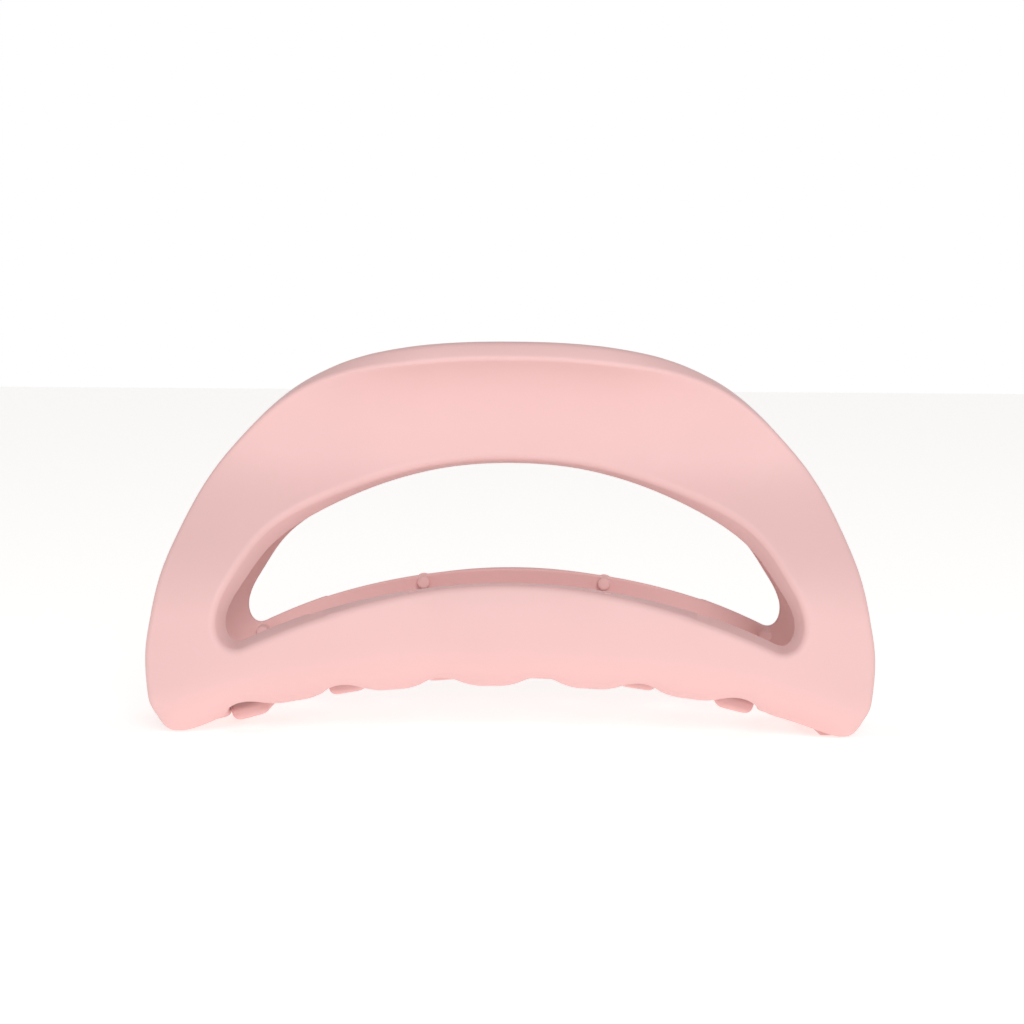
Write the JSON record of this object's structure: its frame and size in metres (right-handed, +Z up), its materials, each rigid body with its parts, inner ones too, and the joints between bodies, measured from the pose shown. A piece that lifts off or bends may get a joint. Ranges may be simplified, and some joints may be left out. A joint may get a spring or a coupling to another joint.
{
  "type": "claw clip",
  "caption": "Hair claw with half-moon jaws, a wide crescent window in each and interlocking teeth, hinged on a steel pin and sprung shut.",
  "frame": {"origin": "centre of the clip's footprint, on the surface that its jaw corners stand on", "axes": "+X along the clip and its hinge, +Z up from the teeth to the levers, front jaw on the -Y side"},
  "size_m": [0.1062, 0.0392, 0.0576],
  "materials": {
    "jaw_plastic": "soft matte dusty pink, moulded, with a fine even grain",
    "pin_steel": "bright drawn steel rod",
    "spring_steel": "drawn spring wire"
  },
  "bodies": {
    "back_jaw": {"back_jaw": "jaw_plastic", "hinge_pin": "pin_steel", "torsion_spring": "spring_steel"},
    "front_jaw": {"front_jaw": "jaw_plastic"}
  },
  "joints": [
    {"name": "jaw_hinge", "type": "hinge", "parent": "back_jaw", "child": "front_jaw", "pos_m": [0, 0, 0.0453], "axis": [-1, 0, 0], "range_deg": [0, 65], "stiffness_Nm_per_rad": 0.06, "springref_deg": -45.84, "deforming": ["torsion_spring"]}
  ]
}
